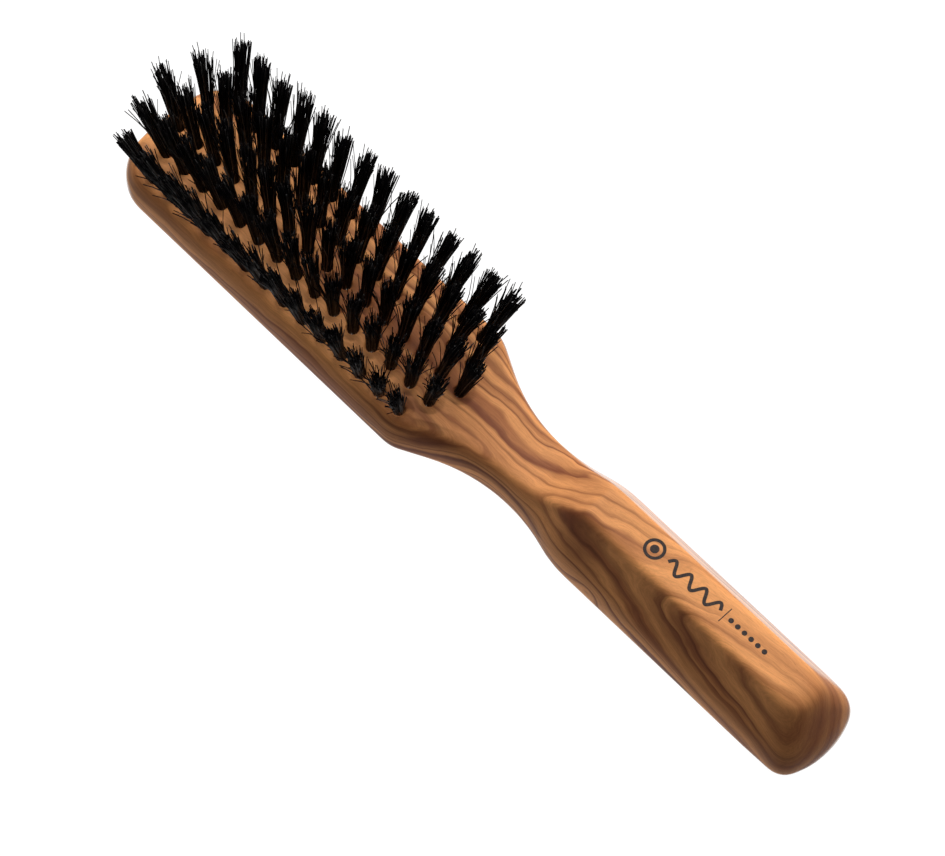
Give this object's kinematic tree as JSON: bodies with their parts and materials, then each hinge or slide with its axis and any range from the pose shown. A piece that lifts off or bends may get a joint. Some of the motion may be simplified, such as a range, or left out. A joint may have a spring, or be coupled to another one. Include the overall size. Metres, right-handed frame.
{
  "type": "vanity hairbrush",
  "caption": "Flat one-piece olive wood hairbrush with a bevelled handle and leaning tufts of dark natural bristle set in lines over its head.",
  "frame": {"origin": "on the flat back of the wooden body, on its centre line, half way along the wooden body's length", "axes": "+X from the head towards the end of the handle, +Y across the brush, +Z out of the bristle side"},
  "size_m": [0.2246, 0.043, 0.034],
  "materials": {
    "olive_wood": "oiled and polished olive wood, satin, with dark flowing figure",
    "bristle": "dyed black natural bristle with a soft sheen",
    "anchor_wire": "plain drawn flat wire"
  },
  "bodies": {
    "root": {"wooden_body": "olive_wood", "bristle_row_01": "bristle", "bristle_row_02": "bristle", "bristle_row_03": "bristle", "bristle_row_04": "bristle", "bristle_row_05": "bristle", "bristle_row_06": "bristle", "bristle_row_07": "bristle", "bristle_row_08": "bristle", "bristle_row_09": "bristle", "bristle_row_10": "bristle", "bristle_row_11": "bristle", "bristle_row_12": "bristle", "bristle_row_13": "bristle", "bristle_row_14": "bristle", "bristle_row_15": "bristle", "bristle_row_16": "bristle", "bristle_row_17": "bristle", "bristle_row_18": "bristle", "bristle_row_19": "bristle", "bristle_row_20": "bristle", "bristle_row_21": "bristle", "bristle_row_22": "bristle", "bristle_row_23": "bristle", "bristle_row_24": "bristle", "bristle_row_25": "bristle", "bristle_row_26": "bristle", "bristle_row_27": "bristle", "bristle_row_28": "bristle", "bristle_row_29": "bristle", "bristle_row_30": "bristle", "bristle_row_31": "bristle", "anchor_wires_line_1": "anchor_wire", "anchor_wires_line_2": "anchor_wire", "anchor_wires_line_3": "anchor_wire", "anchor_wires_line_4": "anchor_wire", "anchor_wires_line_5": "anchor_wire"}
  },
  "joints": []
}
